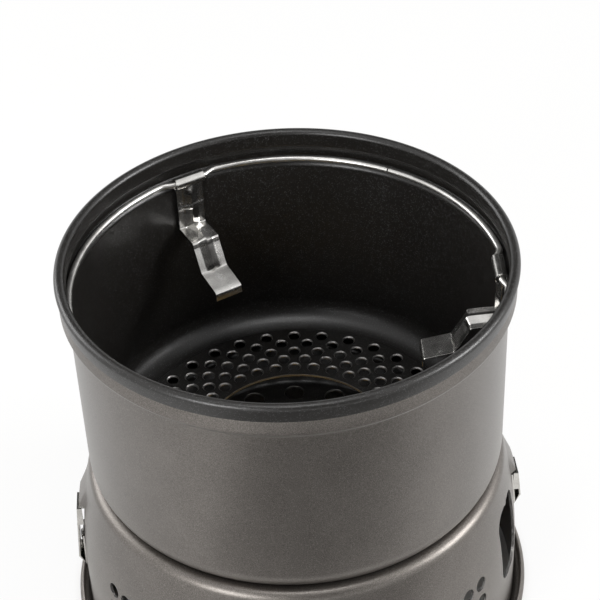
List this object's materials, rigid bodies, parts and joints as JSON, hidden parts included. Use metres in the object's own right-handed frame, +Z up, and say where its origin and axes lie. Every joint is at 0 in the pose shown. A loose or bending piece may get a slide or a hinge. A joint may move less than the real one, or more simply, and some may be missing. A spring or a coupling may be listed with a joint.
{
  "type": "storm cooker",
  "caption": "Spirit-burning camp cooker: two nested round windshields, a wire ring with folding pot supports, side clips and a lift-out burner.",
  "frame": {"origin": "centre of the lower windshield's foot, on the ground plane", "axes": "+Z up along the cooker's axis; front, as pictured, towards -Y; the two strap clips lie about along +X and -X"},
  "size_m": [0.1798, 0.1798, 0.1607],
  "materials": {
    "windshields": "grey-brown hard-anodised aluminium, satin",
    "steel": "bright stainless steel",
    "burner": "plain brass, lightly tarnished",
    "wick": "pale felt",
    "seal": "black rubber"
  },
  "bodies": {
    "lower_windshield": {"lower_windshield": "windshields", "strap_clip_left": "steel", "strap_clip_right": "steel", "clip_rivet_left_lower": "steel", "clip_rivet_left_upper": "steel", "clip_rivet_right_lower": "steel", "clip_rivet_right_upper": "steel"},
    "upper_windshield": {"upper_windshield": "windshields", "support_ring": "steel"},
    "pot_support_1": {"pot_support_1": "steel"},
    "pot_support_2": {"pot_support_2": "steel"},
    "pot_support_3": {"pot_support_3": "steel"},
    "burner": {"burner_body": "burner", "burner_inner_wall": "burner", "burner_wick": "wick"},
    "burner_cap": {"burner_cap": "burner", "cap_seal": "seal"}
  },
  "joints": [
    {"name": "upper_windshield_lift", "type": "slide", "parent": "lower_windshield", "child": "upper_windshield", "axis": [0, 0, 1], "range_m": [0, 0.12]},
    {"name": "pot_support_1_hinge", "type": "hinge", "parent": "upper_windshield", "child": "pot_support_1", "pos_m": [-0.03662, 0.0658, 0.14834], "axis": [-0.8738, -0.4863, 0], "range_deg": [0, 185]},
    {"name": "pot_support_2_hinge", "type": "hinge", "parent": "upper_windshield", "child": "pot_support_2", "pos_m": [0.07529, 0.00105, 0.14834], "axis": [-0.014, 0.9999, 0], "range_deg": [0, 185]},
    {"name": "pot_support_3_hinge", "type": "hinge", "parent": "upper_windshield", "child": "pot_support_3", "pos_m": [-0.03662, -0.0658, 0.14834], "axis": [0.8738, -0.4863, 0], "range_deg": [0, 185]},
    {"name": "burner_lift", "type": "slide", "parent": "lower_windshield", "child": "burner", "axis": [0, 0, 1], "range_m": [0, 0.12]},
    {"name": "burner_cap_lift", "type": "slide", "parent": "burner", "child": "burner_cap", "axis": [0, 0, 1], "range_m": [0, 0.03]}
  ]
}
